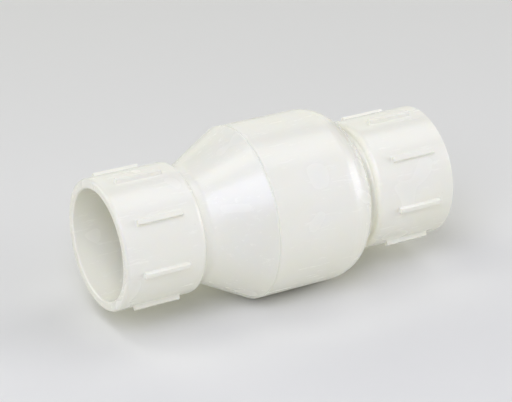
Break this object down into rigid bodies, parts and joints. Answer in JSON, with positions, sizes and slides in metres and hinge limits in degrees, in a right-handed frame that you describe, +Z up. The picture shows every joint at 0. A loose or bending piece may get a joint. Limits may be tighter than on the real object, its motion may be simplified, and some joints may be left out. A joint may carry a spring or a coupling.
{
  "type": "check valve",
  "caption": "Spring-loaded in-line check valve: white plastic body with a cone and a domed barrel between two ribbed pipe sockets, sealed by a sliding poppet.",
  "frame": {"origin": "on the flow axis, half way between the two socket mouths; also the centre of the bounding box", "axes": "+X along the flow axis towards the inlet socket (the domed end), so water flows towards -X; +Z up; +Y completes the right-handed frame"},
  "size_m": [0.1596, 0.0762, 0.0762],
  "materials": {
    "white_pvc": "injection-moulded white PVC, soft gloss",
    "white_acetal": "moulded off-white acetal, satin",
    "black_epdm": "moulded black EPDM rubber",
    "stainless_steel": "cold-headed stainless steel",
    "spring_steel": "drawn stainless spring wire"
  },
  "bodies": {
    "valve_body": {"inlet_body": "white_pvc", "outlet_body": "white_pvc", "stem_guide": "white_acetal", "spring": "spring_steel"},
    "poppet_assembly": {"poppet": "white_acetal", "poppet_seal": "black_epdm", "seal_retainer": "white_acetal", "screw_washer": "stainless_steel", "retainer_screw": "stainless_steel"}
  },
  "joints": [
    {"name": "poppet_lift", "type": "slide", "parent": "valve_body", "child": "poppet_assembly", "axis": [-1, 0, 0], "range_m": [0, 0.0102], "stiffness_N_per_m": 410, "springref_m": -0.011, "deforming": ["spring"]}
  ]
}
